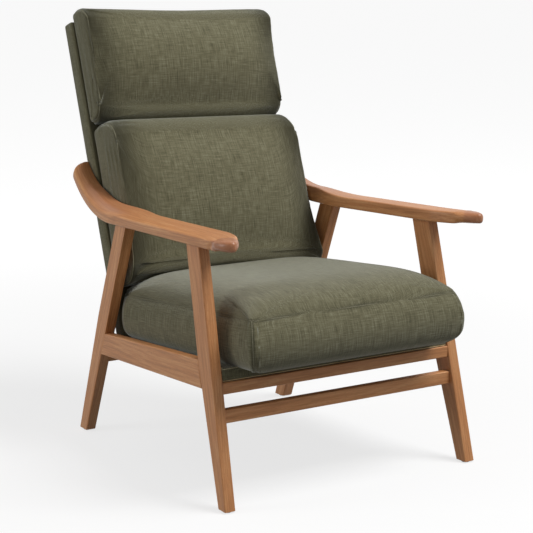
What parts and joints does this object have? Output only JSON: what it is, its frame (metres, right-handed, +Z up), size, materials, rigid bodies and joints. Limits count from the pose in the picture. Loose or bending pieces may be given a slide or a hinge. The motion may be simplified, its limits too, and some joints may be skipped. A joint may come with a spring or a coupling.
{
  "type": "fireside chair",
  "caption": "High-backed fireside chair with an open wooden arm frame, a raked upholstered back and loose boxed cushions",
  "frame": {"origin": "on the floor, under the middle of the whole chair's box", "axes": "+Z up, the chair faces -Y, +X to the right of someone who looks at its front"},
  "size_m": [0.699, 0.907, 1.0224],
  "materials": {
    "frame_wood": "warm mid-brown stained hardwood, satin lacquer",
    "inner_wood": "planed softwood, unfinished",
    "upholstery_fabric": "olive grey-green slubbed weave",
    "lining_cloth": "thin black lining cloth",
    "zip_tape": "woven zip tape with fine coil teeth",
    "webbing": "elastic upholstery webbing",
    "foam": "open-cell upholstery foam",
    "bolt_steel": "zinc-plated steel",
    "insert_brass": "turned brass",
    "glide_plastic": "dark brown moulded plastic"
  },
  "bodies": {
    "frame": {"arm_bolt_left": "bolt_steel", "arm_bolt_right": "bolt_steel", "arm_insert_left": "insert_brass", "arm_insert_right": "insert_brass", "arm_left": "frame_wood", "arm_right": "frame_wood", "back_bottom_rail": "inner_wood", "back_cover": "upholstery_fabric", "back_foam": "foam", "back_middle_rail": "inner_wood", "back_stile_left": "inner_wood", "back_stile_right": "inner_wood", "back_strap_1": "webbing", "back_strap_2": "webbing", "back_strap_3": "webbing", "back_strap_4": "webbing", "back_top_rail": "inner_wood", "deck_cover": "upholstery_fabric", "deck_foam": "foam", "deck_front_batten": "inner_wood", "deck_rear_batten": "inner_wood", "deck_side_batten_left": "inner_wood", "deck_side_batten_right": "inner_wood", "deck_strap_1": "webbing", "deck_strap_2": "webbing", "deck_strap_3": "webbing", "deck_strap_4": "webbing", "dust_cloth": "lining_cloth", "front_leg_left": "frame_wood", "front_leg_right": "frame_wood", "front_seat_rail": "frame_wood", "front_stretcher": "frame_wood", "glide_front_left": "glide_plastic", "glide_front_right": "glide_plastic", "glide_rear_left": "glide_plastic", "glide_rear_right": "glide_plastic", "link_bolt_left": "bolt_steel", "link_bolt_right": "bolt_steel", "rear_leg_left": "frame_wood", "rear_leg_right": "frame_wood", "rear_seat_rail": "frame_wood", "seat_bolt_front_left": "bolt_steel", "seat_bolt_front_right": "bolt_steel", "seat_bolt_rear_left": "bolt_steel", "seat_bolt_rear_right": "bolt_steel", "side_rail_left": "frame_wood", "side_rail_right": "frame_wood"},
    "seat_cushion": {"seat_cushion_core": "foam", "seat_cushion_cover": "upholstery_fabric", "seat_cushion_zip": "zip_tape"},
    "back_cushions": {"back_cushion_core": "foam", "back_cushion_cover": "upholstery_fabric", "back_cushion_zip": "zip_tape", "cushion_link_strip": "upholstery_fabric", "head_cushion_core": "foam", "head_cushion_cover": "upholstery_fabric", "head_cushion_zip": "zip_tape"}
  },
  "joints": [
    {"name": "seat_cushion_lift_out", "type": "slide", "parent": "frame", "child": "seat_cushion", "axis": [0, -0.9968, 0.0802], "range_m": [0, 0.65]},
    {"name": "back_cushions_lift_off", "type": "slide", "parent": "frame", "child": "back_cushions", "axis": [0, 0.3156, 0.9489], "range_m": [0, 0.7]}
  ]
}
